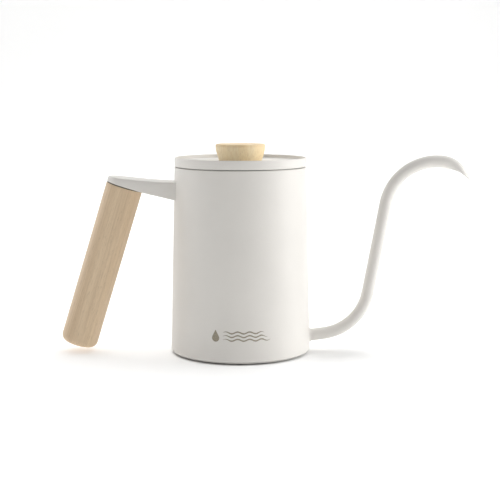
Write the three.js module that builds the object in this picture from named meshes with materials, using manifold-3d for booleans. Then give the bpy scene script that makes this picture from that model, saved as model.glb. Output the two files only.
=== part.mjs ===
// Gooseneck pour-over kettle with a wooden stick grip and a lift-off lid.
// Millimetres, +Z up. The origin is on the pot's axis, at the plane the kettle stands on.
// +X runs out along the spout and -X out along the handle; the kettle mirrors across Y = 0.

import * as THREE from 'three';
import { mergeVertices } from 'three/addons/utils/BufferGeometryUtils.js';
import Module from 'manifold-3d';

const wasm = await Module();
wasm.setup();

// ---------------------------------------------------------------- driving dimensions

const GAP = 0.3; // kept between pieces that touch in the real kettle
const ROUND = 48; // sides of the large turned pieces
const ROUND_MIDDLE = 36; // sides of the grip and the knob
const ROUND_SMALL = 24; // sides of the small turned pieces
const ARC = 2; // half the number of chords in each rounded edge

// Pot
const FOOT = 0.9; // height of the shell's turned-in edge over the table
const EDGE_RADIUS = 2.1;
const SHELL_RADIUS_LOW = 43.5;
const SHELL_RADIUS_TOP = 40.75;
const SHELL_TOP = 116;
const SHELL_WALL = 0.8;
const HEM_DEPTH = 4;
const FLANGE_RADIUS = 38.5; // opening in the turned-in edge
const BASE_THICKNESS = 1;
const BASE_RIM_RADIUS = 41.6;

// Spout, along its centreline
const SPOUT_RADIUS = 3.75;
const SPOUT_WALL = 0.5;
const SPOUT_SIDES = 16;
const SPOUT_STEPS = 48;
const SPOUT_ROOT_HEIGHT = 10; // where the centreline meets the shell
const SPOUT_ROOT_INSET = 1.4; // how far the tube reaches in from the shell's outside
const ROOT_SLOPE = THREE.MathUtils.degToRad(7.5);
const ROOT_LENGTH = 9.3; // straight stretch outside the shell
const BEND_RADIUS = 31.9;
const RISER_SLOPE = THREE.MathUtils.degToRad(79.5);
const RISER_LENGTH = 56.9;
const CROOK_RADIUS = 32.2;
const BEAK_RADIUS = 13.8;
const BEAK_START_SLOPE = THREE.MathUtils.degToRad(-7.5);
const BEAK_END_SLOPE = THREE.MathUtils.degToRad(-63);
const TIP_LENGTH = 12; // straight stretch after the beak's bend, before the mouth is cut
const MOUTH_HEEL = [126.2, 115.2]; // ends of the cut that opens the beak, as X and Z
const MOUTH_TIP = [141.4, 108.9];
const MOUTH_CUT_RADIUS = 24; // the cut is a shallow arc, hollow side down
const COLLAR_RADIUS = 5.1;
const COLLAR_END_RADIUS = 4.25;
const COLLAR_LENGTH = 1.7;

// Handle
const GRIP_TILT = THREE.MathUtils.degToRad(17.07); // from the vertical, lower end outwards
const GRIP_TOP = [-72.1, 103.4]; // centre of the grip's upper face, as X and Z
const GRIP_RADIUS = 11.35;
const GRIP_LENGTH = 103.3;
const GRIP_END_RADIUS = 4.3;
const GASKET_THICKNESS = 0.5;
const GASKET_RADIUS = 10.9;
const GASKET_CLEARANCE = 0.25; // below and above the gasket
const ARM_LIFT = GASKET_THICKNESS + 2 * GASKET_CLEARANCE; // from the grip's upper face to the arm
const ARM_TOP_AT_SHELL = 107;
const ARM_BOTTOM_AT_SHELL = 96;
const ARM_TOP_AT_END = 111.5;
const ARM_TOP_LEVEL_RUN = 18; // how far out from the shell the top stays nearly level
const ARM_OVERRUN = 1.4 * GRIP_RADIUS; // from the grip's axis to the end of the uncut outline
const STUD_RADIUS = 2.5;
const STUD_DEPTH = 30; // into the grip
const STUD_RISE = 3.6; // into the arm, from the grip's upper face
const GRIP_INSERT_RADIUS = 4.2;
const GRIP_INSERT_LENGTH = 12;

// Lid
const CAP_RADIUS = 40.7;
const CAP_TOP = 121.9;
const CAP_BOTTOM = 116.4;
const CAP_WALL = 0.8;
const CAP_FLOOR = 118.9; // underside of the recessed floor
const LINER_WALL = 0.6;
const LINER_RADIUS = 37.6;
const LINER_BOTTOM = 105.4;
const SEAL_BOTTOM = 112.1;
const SEAL_TOP = 114.7;
const SEAL_INNER_RADIUS = 37.1;
const SEAL_OUTER_RADIUS = 38.85;
const VENT_RADIUS = 1.5;
const VENT_X = 26;

// Knob and its fixing
const KNOB_FOOT_RADIUS = 13.3;
const KNOB_RADIUS = 15.35;
const KNOB_TOP = 130.1;
const KNOB_EDGE_RADIUS = 1;
const KNOB_GASKET_RADIUS = 8;
const KNOB_GASKET_THICKNESS = 0.6;
const KNOB_INSERT_RADIUS = 3.5;
const KNOB_INSERT_LENGTH = 5.9;
const SCREW_RADIUS = 2;
const SCREW_HOLE_RADIUS = 2.4;
const SCREW_HEAD_RADIUS = 4;
const SCREW_HEAD_HEIGHT = 2.5;
const SOCKET_RADIUS = 1.45; // to the corners of the screw's hexagon socket
const SOCKET_DEPTH = 1.5;
const WASHER_RADIUS = 5.5;
const WASHER_THICKNESS = 0.8;

// ---------------------------------------------------------------- materials

const paint = () => new THREE.MeshStandardMaterial({ color: 0xf1eee8, roughness: 0.5, metalness: 0 });
const steel = () => new THREE.MeshStandardMaterial({ color: 0xb9b8b4, roughness: 0.32, metalness: 1 });
const beech = () => new THREE.MeshStandardMaterial({ color: 0xcfb08a, roughness: 0.65, metalness: 0 });
const brass = () => new THREE.MeshStandardMaterial({ color: 0xb8944a, roughness: 0.35, metalness: 1 });
const silicone = () => new THREE.MeshStandardMaterial({ color: 0xdedbd2, roughness: 0.6, metalness: 0 });
const darkRubber = () => new THREE.MeshStandardMaterial({ color: 0x3a3835, roughness: 0.8, metalness: 0 });

// ---------------------------------------------------------------- helpers

/** A closed mesh as a solid that can be cut or joined. */
function solid(geometry) {
  const bare = geometry.clone();
  bare.deleteAttribute('normal');
  bare.deleteAttribute('uv');
  const merged = mergeVertices(bare, 1e-4);
  const vertProperties = new Float32Array(merged.attributes.position.array);
  const triVerts = new Uint32Array(withoutSlivers(merged.index.array));
  return new wasm.Manifold(new wasm.Mesh({ numProp: 3, vertProperties, triVerts }));
}

/** Triangle corners without the triangles that merging has collapsed. */
function withoutSlivers(index) {
  const kept = [];
  for (let i = 0; i < index.length; i += 3) {
    const [a, b, c] = index.slice(i, i + 3);
    if (a !== b && b !== c && c !== a) kept.push(a, b, c);
  }
  return kept;
}

/** The mesh geometry of a cut or joined solid. */
function geometryOf(manifold) {
  const { vertProperties, triVerts } = manifold.getMesh();
  const geometry = new THREE.BufferGeometry();
  geometry.setAttribute('position', new THREE.BufferAttribute(vertProperties, 3));
  geometry.setIndex(new THREE.BufferAttribute(triVerts, 1));
  geometry.computeVertexNormals();
  return geometry;
}

/** Turns a profile, X being the radius and Y the height, about the Z axis. */
function turned(path, sides = ROUND) {
  return new THREE.LatheGeometry(path.getPoints(ARC), sides).rotateX(Math.PI / 2);
}

/** A closed profile through the given [radius, height] corners. */
function profile(corners) {
  const path = new THREE.Path();
  corners.forEach(([r, z], i) => (i === 0 ? path.moveTo(r, z) : path.lineTo(r, z)));
  path.closePath();
  return path;
}

/** A flat ring about Z. */
function ring(innerRadius, outerRadius, bottom, top, sides = ROUND_SMALL) {
  const corners = [[innerRadius, bottom], [outerRadius, bottom], [outerRadius, top], [innerRadius, top]];
  return turned(profile(corners), sides);
}

/** A round bar about Z. */
function bar(radius, bottom, top, sides = ROUND_SMALL) {
  const geometry = new THREE.CylinderGeometry(radius, radius, top - bottom, sides);
  return geometry.rotateX(Math.PI / 2).translate(0, 0, (bottom + top) / 2);
}

/** Turns geometry made about Z so that its axis leans to (cos slope, sin slope) from a point. */
function aimed(geometry, slope, x, z) {
  return geometry.rotateY(Math.PI / 2 - slope).translate(x, 0, z);
}

/** Moves geometry made in the grip's frame, whose Z is the grip's axis, into the kettle's. */
function inGripFrame(geometry) {
  return geometry.rotateY(GRIP_TILT).translate(GRIP_TOP[0], 0, GRIP_TOP[1]);
}

function mesh(name, geometry, material) {
  const made = new THREE.Mesh(geometry, material);
  made.name = name;
  return made;
}

// ---------------------------------------------------------------- pot

/** Outside radius of the shell's straight wall at a height. */
function shellRadius(z) {
  const low = FOOT + EDGE_RADIUS;
  return THREE.MathUtils.mapLinear(z, low, SHELL_TOP, SHELL_RADIUS_LOW, SHELL_RADIUS_TOP);
}

/** The shell's outer cone grown by the gap, to trim what meets it. */
function shellCutter() {
  const bottom = -10;
  const top = SHELL_TOP + 20;
  const geometry = new THREE.CylinderGeometry(
    shellRadius(top) + GAP, shellRadius(bottom) + GAP, top - bottom, ROUND,
  );
  return solid(geometry.rotateX(Math.PI / 2).translate(0, 0, (bottom + top) / 2));
}

function bodyShell() {
  const bendCentre = [SHELL_RADIUS_LOW - EDGE_RADIUS, FOOT + EDGE_RADIUS];
  const rimCentre = [SHELL_RADIUS_TOP - SHELL_WALL, SHELL_TOP - SHELL_WALL];
  const hemInner = SHELL_RADIUS_TOP - 2 * SHELL_WALL;
  const hemBottom = SHELL_TOP - HEM_DEPTH;
  const underHem = hemBottom - SHELL_WALL;
  const path = new THREE.Path();
  path.moveTo(FLANGE_RADIUS, FOOT);
  path.lineTo(bendCentre[0], FOOT);
  path.absarc(...bendCentre, EDGE_RADIUS, -Math.PI / 2, 0);
  path.lineTo(SHELL_RADIUS_TOP, rimCentre[1]);
  path.absarc(...rimCentre, SHELL_WALL, 0, Math.PI);
  path.lineTo(hemInner, hemBottom);
  path.lineTo(shellRadius(underHem) - SHELL_WALL, underHem);
  path.lineTo(SHELL_RADIUS_LOW - SHELL_WALL, bendCentre[1]);
  path.absarc(...bendCentre, EDGE_RADIUS - SHELL_WALL, 0, -Math.PI / 2, true);
  path.lineTo(FLANGE_RADIUS, FOOT + SHELL_WALL);
  path.closePath();
  const spoutHole = aimed(
    bar(SPOUT_RADIUS + GAP, -8, 8, SPOUT_SIDES), ROOT_SLOPE, spoutRootX(), SPOUT_ROOT_HEIGHT,
  );
  return geometryOf(solid(turned(path)).subtract(solid(spoutHole)));
}

/** A pressed plate: its flat middle drops through the flange to the table, its rim lies on the flange. */
function baseDisc() {
  const panRadius = FLANGE_RADIUS - GAP;
  const rimBottom = FOOT + SHELL_WALL + GAP;
  const rimTop = rimBottom + BASE_THICKNESS;
  const path = new THREE.Path();
  path.moveTo(0, 0);
  path.lineTo(panRadius - BASE_THICKNESS, 0);
  path.absarc(panRadius - BASE_THICKNESS, BASE_THICKNESS, BASE_THICKNESS, -Math.PI / 2, 0);
  path.lineTo(panRadius, rimBottom);
  path.lineTo(BASE_RIM_RADIUS, rimBottom);
  path.lineTo(BASE_RIM_RADIUS, rimTop);
  path.lineTo(panRadius - BASE_THICKNESS, rimTop);
  path.lineTo(panRadius - BASE_THICKNESS, BASE_THICKNESS);
  path.lineTo(0, BASE_THICKNESS);
  return turned(path);
}

// ---------------------------------------------------------------- spout

function spoutRootX() {
  return shellRadius(SPOUT_ROOT_HEIGHT);
}

/** A line drawn with X and Z, standing in the kettle's plane of symmetry. */
class UprightCurve extends THREE.Curve {
  constructor(path) {
    super();
    this.path = path;
  }

  getPoint(t, target = new THREE.Vector3()) {
    const { x, y } = this.path.getPoint(t);
    return target.set(x, 0, y);
  }
}

/** Unit vector at a slope, and the one a quarter turn to its left. */
const along = (slope) => new THREE.Vector2(Math.cos(slope), Math.sin(slope));
const leftOf = (slope) => new THREE.Vector2(-Math.sin(slope), Math.cos(slope));

/** Root, bend up, riser, crook over the top, the tighter beak and its straight tip. */
function spoutCentreline() {
  const quarter = Math.PI / 2;
  const atShell = new THREE.Vector2(spoutRootX(), SPOUT_ROOT_HEIGHT);
  const start = atShell.clone().addScaledVector(along(ROOT_SLOPE), -SPOUT_ROOT_INSET);
  const bendStart = atShell.clone().addScaledVector(along(ROOT_SLOPE), ROOT_LENGTH);
  const bendCentre = bendStart.clone().addScaledVector(leftOf(ROOT_SLOPE), BEND_RADIUS);
  const crookStart = bendCentre.clone()
    .addScaledVector(leftOf(RISER_SLOPE), -BEND_RADIUS)
    .addScaledVector(along(RISER_SLOPE), RISER_LENGTH);
  const crookCentre = crookStart.clone().addScaledVector(leftOf(RISER_SLOPE), -CROOK_RADIUS);
  const beakCentre = crookCentre.clone()
    .addScaledVector(leftOf(BEAK_START_SLOPE), CROOK_RADIUS - BEAK_RADIUS);
  const tipEnd = beakCentre.clone()
    .addScaledVector(leftOf(BEAK_END_SLOPE), BEAK_RADIUS)
    .addScaledVector(along(BEAK_END_SLOPE), TIP_LENGTH);
  const path = new THREE.Path();
  path.moveTo(start.x, start.y);
  path.lineTo(bendStart.x, bendStart.y);
  path.absarc(bendCentre.x, bendCentre.y, BEND_RADIUS, ROOT_SLOPE - quarter, RISER_SLOPE - quarter);
  path.absarc(
    crookCentre.x, crookCentre.y, CROOK_RADIUS, RISER_SLOPE + quarter, BEAK_START_SLOPE + quarter, true,
  );
  path.absarc(
    beakCentre.x, beakCentre.y, BEAK_RADIUS, BEAK_START_SLOPE + quarter, BEAK_END_SLOPE + quarter, true,
  );
  path.lineTo(tipEnd.x, tipEnd.y);
  return new UprightCurve(path);
}

/** The block below the beak whose arched upper side cuts the mouth open. */
function mouthCutter() {
  const width = 4 * SPOUT_RADIUS;
  const drop = 30;
  const heel = new THREE.Vector2(...MOUTH_HEEL);
  const tip = new THREE.Vector2(...MOUTH_TIP);
  const half = heel.distanceTo(tip) / 2;
  const cutSlope = tip.clone().sub(heel).angle();
  const depth = Math.sqrt(MOUTH_CUT_RADIUS ** 2 - half ** 2);
  const centre = heel.clone().lerp(tip, 0.5).addScaledVector(leftOf(cutSlope), -depth);
  const heelAngle = heel.clone().sub(centre).angle();
  const tipAngle = tip.clone().sub(centre).angle();
  const shape = new THREE.Shape();
  shape.moveTo(heel.x, heel.y - drop);
  shape.lineTo(tip.x + width, tip.y - drop);
  shape.lineTo(tip.x + width, tip.y - width);
  shape.absarc(centre.x, centre.y, MOUTH_CUT_RADIUS, tipAngle, heelAngle);
  const geometry = new THREE.ExtrudeGeometry(shape, { depth: width, bevelEnabled: false, curveSegments: 4 });
  return solid(geometry.rotateX(Math.PI / 2).translate(0, width / 2, 0));
}

function spoutTube() {
  const section = new THREE.Shape().absarc(0, 0, SPOUT_RADIUS, 0, 2 * Math.PI);
  section.holes.push(new THREE.Path().absarc(0, 0, SPOUT_RADIUS - SPOUT_WALL, 0, 2 * Math.PI));
  const tube = new THREE.ExtrudeGeometry(section, {
    extrudePath: spoutCentreline(),
    steps: SPOUT_STEPS,
    curveSegments: SPOUT_SIDES / 2,
  });
  return geometryOf(solid(tube).subtract(mouthCutter()));
}

/** A small flared ring, hollowed in its outline, that meets the shell. */
function spoutCollar() {
  const innerRadius = SPOUT_RADIUS + GAP;
  const hidden = -3;
  const path = new THREE.Path();
  path.moveTo(innerRadius, hidden);
  path.lineTo(COLLAR_RADIUS, hidden);
  path.lineTo(COLLAR_RADIUS, GAP);
  path.quadraticCurveTo(COLLAR_END_RADIUS, COLLAR_LENGTH / 3, COLLAR_END_RADIUS, COLLAR_LENGTH);
  path.lineTo(innerRadius, COLLAR_LENGTH);
  path.closePath();
  const flare = aimed(turned(path, ROUND_SMALL), ROOT_SLOPE, spoutRootX(), SPOUT_ROOT_HEIGHT);
  return geometryOf(solid(flare).subtract(shellCutter()));
}

// ---------------------------------------------------------------- handle

/** The arm's side outline, X along the kettle and Y up, run on into the shell and past the end. */
function armOutline() {
  const endX = GRIP_TOP[0] - ARM_OVERRUN;
  const shellX = -(shellRadius(ARM_BOTTOM_AT_SHELL) - SHELL_WALL);
  const intoShellX = shellX + 6;
  const across = along(-GRIP_TILT);
  const seat = new THREE.Vector2(...GRIP_TOP).addScaledVector(leftOf(-GRIP_TILT), ARM_LIFT);
  const outer = seat.clone().addScaledVector(across, -ARM_OVERRUN);
  const inner = seat.clone().addScaledVector(across, GRIP_RADIUS);
  const shape = new THREE.Shape();
  shape.moveTo(outer.x, outer.y);
  shape.lineTo(inner.x, inner.y);
  shape.lineTo(shellX, ARM_BOTTOM_AT_SHELL);
  shape.lineTo(intoShellX, ARM_BOTTOM_AT_SHELL);
  shape.lineTo(intoShellX, ARM_TOP_AT_SHELL);
  shape.lineTo(shellX, ARM_TOP_AT_SHELL);
  shape.quadraticCurveTo(shellX - ARM_TOP_LEVEL_RUN, ARM_TOP_AT_SHELL + 0.2, endX, ARM_TOP_AT_END);
  return shape;
}

/** As wide as the grip, with the grip's own roundness at the outer end. */
function armPlan() {
  const reach = 60;
  const height = 60;
  const round = solid(inGripFrame(bar(GRIP_RADIUS, -height / 2, height / 2, ROUND)));
  const straight = new THREE.BoxGeometry(reach, 2 * GRIP_RADIUS, height).translate(reach / 2, 0, 0);
  return round.add(solid(inGripFrame(straight)));
}

function handleArm() {
  const depth = 3 * GRIP_RADIUS;
  const outline = new THREE.ExtrudeGeometry(armOutline(), { depth, bevelEnabled: false, curveSegments: 10 });
  const block = solid(outline.rotateX(Math.PI / 2).translate(0, depth / 2, 0));
  const studHole = solid(inGripFrame(bar(STUD_RADIUS + GAP, -5, STUD_RISE + GAP)));
  return geometryOf(block.intersect(armPlan()).subtract(shellCutter()).subtract(studHole));
}

/** In the grip's frame: its upper face is at Z = 0 and the wood runs down from it. */
function handleGrip() {
  const insertHole = GRIP_INSERT_RADIUS + GAP;
  const insertFloor = -(GRIP_INSERT_LENGTH + 3 * GAP);
  const studHole = STUD_RADIUS + GAP;
  const path = new THREE.Path();
  path.moveTo(0, -GRIP_LENGTH);
  path.lineTo(GRIP_RADIUS - GRIP_END_RADIUS, -GRIP_LENGTH);
  path.absarc(
    GRIP_RADIUS - GRIP_END_RADIUS, GRIP_END_RADIUS - GRIP_LENGTH, GRIP_END_RADIUS, -Math.PI / 2, 0,
  );
  path.lineTo(GRIP_RADIUS, 0);
  path.lineTo(insertHole, 0);
  path.lineTo(insertHole, insertFloor);
  path.lineTo(studHole, insertFloor);
  path.lineTo(studHole, -STUD_DEPTH - 1);
  path.lineTo(0, -STUD_DEPTH - 1);
  return turned(path, ROUND_MIDDLE);
}

function gripInsert() {
  return ring(STUD_RADIUS + GAP, GRIP_INSERT_RADIUS, -GRIP_INSERT_LENGTH - GAP, -GAP);
}

function gripGasket() {
  const top = GASKET_CLEARANCE + GASKET_THICKNESS;
  return ring(STUD_RADIUS + GAP, GASKET_RADIUS, GASKET_CLEARANCE, top, ROUND);
}

// ---------------------------------------------------------------- lid

/** The steam vent, through the cap and the liner. */
function ventCutter() {
  return solid(bar(VENT_RADIUS, CAP_FLOOR - 5, CAP_FLOOR + 5).translate(VENT_X, 0, 0));
}

/** A recessed floor inside a thin band that stands up as the rim and hangs down as the skirt. */
function lidCap() {
  const inner = CAP_RADIUS - CAP_WALL;
  const lip = CAP_WALL / 2;
  const floorTop = CAP_FLOOR + CAP_WALL;
  const path = new THREE.Path();
  path.moveTo(SCREW_HOLE_RADIUS, CAP_FLOOR);
  path.lineTo(inner, CAP_FLOOR);
  path.lineTo(inner, CAP_BOTTOM);
  path.lineTo(CAP_RADIUS, CAP_BOTTOM);
  path.lineTo(CAP_RADIUS, CAP_TOP - lip);
  path.absarc(CAP_RADIUS - lip, CAP_TOP - lip, lip, 0, Math.PI);
  path.lineTo(inner, floorTop);
  path.lineTo(SCREW_HOLE_RADIUS, floorTop);
  path.closePath();
  return geometryOf(solid(turned(path)).subtract(ventCutter()));
}

/** An upturned pan whose wall goes down into the pot, with a groove round it for the seal. */
function lidLiner() {
  const top = CAP_FLOOR - GAP;
  const inner = LINER_RADIUS - LINER_WALL;
  const grooveRadius = SEAL_INNER_RADIUS - GAP;
  const grooveInner = grooveRadius - LINER_WALL;
  const grooveBottom = SEAL_BOTTOM - GAP;
  const grooveTop = SEAL_TOP + GAP;
  const corners = [
    [SCREW_HOLE_RADIUS, top - LINER_WALL],
    [inner, top - LINER_WALL],
    [inner, grooveTop + LINER_WALL],
    [grooveInner, grooveTop + LINER_WALL],
    [grooveInner, grooveBottom - LINER_WALL],
    [inner, grooveBottom - LINER_WALL],
    [inner, LINER_BOTTOM],
    [LINER_RADIUS, LINER_BOTTOM],
    [LINER_RADIUS, grooveBottom],
    [grooveRadius, grooveBottom],
    [grooveRadius, grooveTop],
    [LINER_RADIUS, grooveTop],
    [LINER_RADIUS, top],
    [SCREW_HOLE_RADIUS, top],
  ];
  return geometryOf(solid(turned(profile(corners))).subtract(ventCutter()));
}

/** Flat inside, bulging outside. */
function lidSeal() {
  const shoulder = SEAL_INNER_RADIUS + 0.9;
  const middle = (SEAL_BOTTOM + SEAL_TOP) / 2;
  const path = new THREE.Path();
  path.moveTo(SEAL_INNER_RADIUS, SEAL_BOTTOM);
  path.lineTo(shoulder, SEAL_BOTTOM);
  path.lineTo(SEAL_OUTER_RADIUS, middle - 0.4);
  path.lineTo(SEAL_OUTER_RADIUS, middle + 0.4);
  path.lineTo(shoulder, SEAL_TOP);
  path.lineTo(SEAL_INNER_RADIUS, SEAL_TOP);
  path.closePath();
  return turned(path);
}

/** Turned wood: narrow foot, swelling to the top, with a hole for the insert from below. */
function lidKnob() {
  const foot = CAP_FLOOR + CAP_WALL + GAP;
  const recessTop = foot + KNOB_GASKET_THICKNESS + GAP;
  const insertHole = KNOB_INSERT_RADIUS + GAP;
  const insertTop = recessTop + KNOB_INSERT_LENGTH + 2 * GAP;
  const widest = KNOB_TOP - 2;
  const path = new THREE.Path();
  path.moveTo(0, insertTop);
  path.lineTo(insertHole, insertTop);
  path.lineTo(insertHole, recessTop);
  path.lineTo(KNOB_GASKET_RADIUS + GAP, recessTop);
  path.lineTo(KNOB_GASKET_RADIUS + GAP, foot);
  path.lineTo(KNOB_FOOT_RADIUS, foot);
  path.bezierCurveTo(KNOB_FOOT_RADIUS + 0.95, foot + 3.2, KNOB_RADIUS, foot + 6, KNOB_RADIUS, widest);
  path.lineTo(KNOB_RADIUS, KNOB_TOP - KNOB_EDGE_RADIUS);
  path.absarc(
    KNOB_RADIUS - KNOB_EDGE_RADIUS, KNOB_TOP - KNOB_EDGE_RADIUS, KNOB_EDGE_RADIUS, 0, Math.PI / 2,
  );
  path.lineTo(0, KNOB_TOP);
  return new THREE.LatheGeometry(path.getPoints(3), ROUND_MIDDLE).rotateX(Math.PI / 2);
}

function knobGasket() {
  const bottom = CAP_FLOOR + CAP_WALL + GAP;
  return ring(SCREW_HOLE_RADIUS, KNOB_GASKET_RADIUS, bottom, bottom + KNOB_GASKET_THICKNESS);
}

function knobInsert() {
  const bottom = CAP_FLOOR + CAP_WALL + KNOB_GASKET_THICKNESS + 3 * GAP;
  return ring(SCREW_RADIUS + GAP, KNOB_INSERT_RADIUS, bottom, bottom + KNOB_INSERT_LENGTH);
}

/** Height of the washer's underside, below the liner. */
function washerBottom() {
  return CAP_FLOOR - GAP - LINER_WALL - GAP - WASHER_THICKNESS;
}

function knobWasher() {
  return ring(SCREW_HOLE_RADIUS, WASHER_RADIUS, washerBottom(), washerBottom() + WASHER_THICKNESS);
}

/** A flat-headed screw with a hexagon socket, head down. */
function knobScrew() {
  const seat = washerBottom() - GAP;
  const headBottom = seat - SCREW_HEAD_HEIGHT;
  const end = CAP_FLOOR + CAP_WALL + KNOB_INSERT_LENGTH + KNOB_GASKET_THICKNESS;
  const corners = [
    [SCREW_HEAD_RADIUS - 0.5, headBottom],
    [SCREW_HEAD_RADIUS, headBottom + 0.5],
    [SCREW_HEAD_RADIUS, seat],
    [SCREW_RADIUS, seat],
    [SCREW_RADIUS, end],
  ];
  const path = new THREE.Path();
  path.moveTo(0, headBottom);
  corners.forEach(([r, z]) => path.lineTo(r, z));
  path.lineTo(0, end);
  const socket = bar(SOCKET_RADIUS, headBottom - 1, headBottom + SOCKET_DEPTH, 6);
  return geometryOf(solid(turned(path, ROUND_SMALL)).subtract(solid(socket)));
}

// ---------------------------------------------------------------- the kettle

const kettle = new THREE.Group();

kettle.add(
  mesh('body_shell', bodyShell(), paint()),
  mesh('base_disc', baseDisc(), steel()),
  mesh('spout_tube', spoutTube(), paint()),
  mesh('spout_collar', spoutCollar(), paint()),
  mesh('handle_arm', handleArm(), paint()),
);

const grip = new THREE.Group();
grip.position.set(GRIP_TOP[0], 0, GRIP_TOP[1]);
grip.rotation.y = GRIP_TILT;
grip.add(
  mesh('handle_grip', handleGrip(), beech()),
  mesh('grip_gasket', gripGasket(), darkRubber()),
  mesh('grip_insert', gripInsert(), brass()),
  mesh('grip_stud', bar(STUD_RADIUS, -STUD_DEPTH, STUD_RISE), steel()),
);
kettle.add(grip);

const lid = new THREE.Group();
lid.add(
  mesh('lid_cap', lidCap(), paint()),
  mesh('lid_liner', lidLiner(), steel()),
  mesh('lid_seal', lidSeal(), silicone()),
  mesh('lid_knob', lidKnob(), beech()),
  mesh('knob_gasket', knobGasket(), silicone()),
  mesh('knob_insert', knobInsert(), brass()),
  mesh('knob_washer', knobWasher(), steel()),
  mesh('knob_screw', knobScrew(), steel()),
);
kettle.add(lid);

export default kettle;
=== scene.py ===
"""Looks of a small gooseneck pour-over kettle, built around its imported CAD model.

Everything is in the row frame: the origin is under the pot's axis on the table, +Z up, the spout
towards +X and the handle towards -X. Shapes are worked out in millimetres and stored in metres.
"""

import math

import bmesh
import bpy
import numpy as np
from mathutils import Matrix, Vector


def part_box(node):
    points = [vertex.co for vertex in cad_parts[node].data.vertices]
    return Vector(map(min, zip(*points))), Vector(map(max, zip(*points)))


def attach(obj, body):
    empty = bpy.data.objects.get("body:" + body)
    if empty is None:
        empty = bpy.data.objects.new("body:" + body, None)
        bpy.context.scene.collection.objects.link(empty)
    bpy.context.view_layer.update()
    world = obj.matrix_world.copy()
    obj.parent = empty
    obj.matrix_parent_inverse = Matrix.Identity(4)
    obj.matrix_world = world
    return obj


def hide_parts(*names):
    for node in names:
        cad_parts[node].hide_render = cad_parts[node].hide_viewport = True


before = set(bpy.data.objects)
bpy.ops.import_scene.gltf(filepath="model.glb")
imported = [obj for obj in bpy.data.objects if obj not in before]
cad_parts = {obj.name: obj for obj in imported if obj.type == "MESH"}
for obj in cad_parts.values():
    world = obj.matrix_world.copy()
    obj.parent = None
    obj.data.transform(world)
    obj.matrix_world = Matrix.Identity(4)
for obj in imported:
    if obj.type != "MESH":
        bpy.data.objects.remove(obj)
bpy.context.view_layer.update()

MM = 0.001
GAP = 0.3  # millimetres between neighbouring pieces, as in the CAD


def box_mm(node):
    """Lowest and highest corner of a CAD node, in millimetres."""
    low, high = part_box(node)
    return low / MM, high / MM


# ------------------------------------------------------------------ sizes in millimetres

SHELL_LOW, SHELL_HIGH = box_mm("body_shell")
BASE_HIGH = box_mm("base_disc")[1]
SPOUT_HIGH = box_mm("spout_tube")[1]
GRIP_LOW, GRIP_HIGH = box_mm("handle_grip")
CAP_LOW, CAP_HIGH = box_mm("lid_cap")
LINER_LOW, LINER_HIGH = box_mm("lid_liner")
SEAL_LOW, SEAL_HIGH = box_mm("lid_seal")
KNOB_LOW, KNOB_HIGH = box_mm("lid_knob")
SCREW_LOW, SCREW_HIGH = box_mm("knob_screw")
WASHER_LOW, WASHER_HIGH = box_mm("knob_washer")

ROUND_SIDES = 192
SMALL_SIDES = 96
SHARP_ANGLE = math.radians(38)

# Pot
SHELL_RADIUS_TOP = 40.75
EDGE_RADIUS = 2.1  # of the bend at the foot
SHELL_WALL = 0.8
HEM_DEPTH = 4.0
FLANGE_RADIUS = 38.5  # of the opening in the turned-in foot
BASE_PAN_RADIUS = 38.2
BASE_THICKNESS = 1.0

# Spout
SPOUT_RADIUS = SPOUT_HIGH.y
SPOUT_WALL = 0.5
SPOUT_ROOT_HEIGHT = 10.0
SPOUT_ROOT_INSET = 1.4
ROOT_SLOPE = math.radians(7.5)
ROOT_LENGTH = 9.3
BEND_RADIUS = 31.9
RISER_SLOPE = math.radians(79.5)
RISER_LENGTH = 56.9
CROOK_RADIUS = 32.2
BEAK_RADIUS = 13.8
BEAK_START_SLOPE = math.radians(-7.5)
BEAK_END_SLOPE = math.radians(-63)
TIP_LENGTH = 12.0
MOUTH_HEEL = Vector((126.2, 115.2))
MOUTH_TIP = Vector((141.4, 108.9))
MOUTH_CUT_RADIUS = 24
LIP_RISE = 0.16
COLLAR_RADIUS = 5.1
COLLAR_MIDDLE_RADIUS = 4.0
COLLAR_LENGTH = 1.7
SPOUT_PLAY = 0.02  # between the spout and its hole in the shell
COLLAR_BELLY = 0.3

# Handle
GRIP_TILT = math.radians(17.07)
GRIP_RADIUS = GRIP_HIGH.y
GRIP_END_RADIUS = 4.3
GRIP_TOP = Vector((
    GRIP_HIGH.x - GRIP_RADIUS * math.cos(GRIP_TILT),
    0,
    GRIP_HIGH.z - GRIP_RADIUS * math.sin(GRIP_TILT),
))
GRIP_END_SHADE = 1.15  # height over the lower end where painted shade, on end grain that is also darker, starts to darken the wood
GRIP_END_SHADE_FADE = 4.5  # drop over which it would darken in full, mostly past the end
WOOD_RISE = 0.15  # of the wood over the CAD grip's upper face
ARM_LIFT = 0.85  # of the arm's seat over the same face
GASKET_SETBACK = 0.35
GASKET_CLEARANCE = 0.02
INSERT_HOLE_RADIUS = 4.5
INSERT_HOLE_DEPTH = 12.9
STUD_HOLE_RADIUS = 2.8
STUD_HOLE_DEPTH = 31
ARM_TOP_AT_SHELL = 107.0
ARM_BOTTOM_AT_SHELL = 96.0
ARM_TOP_AT_END = 111.5
ARM_TOP_LEVEL_RUN = 18  # how far out from the shell the top stays nearly level
ARM_OVERRUN = 1.4 * GRIP_RADIUS  # from the grip's axis to the end of the arm's curves
ARM_UNDER_EDGE = 0.5
ARM_TOP_EDGE = 1.1

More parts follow.
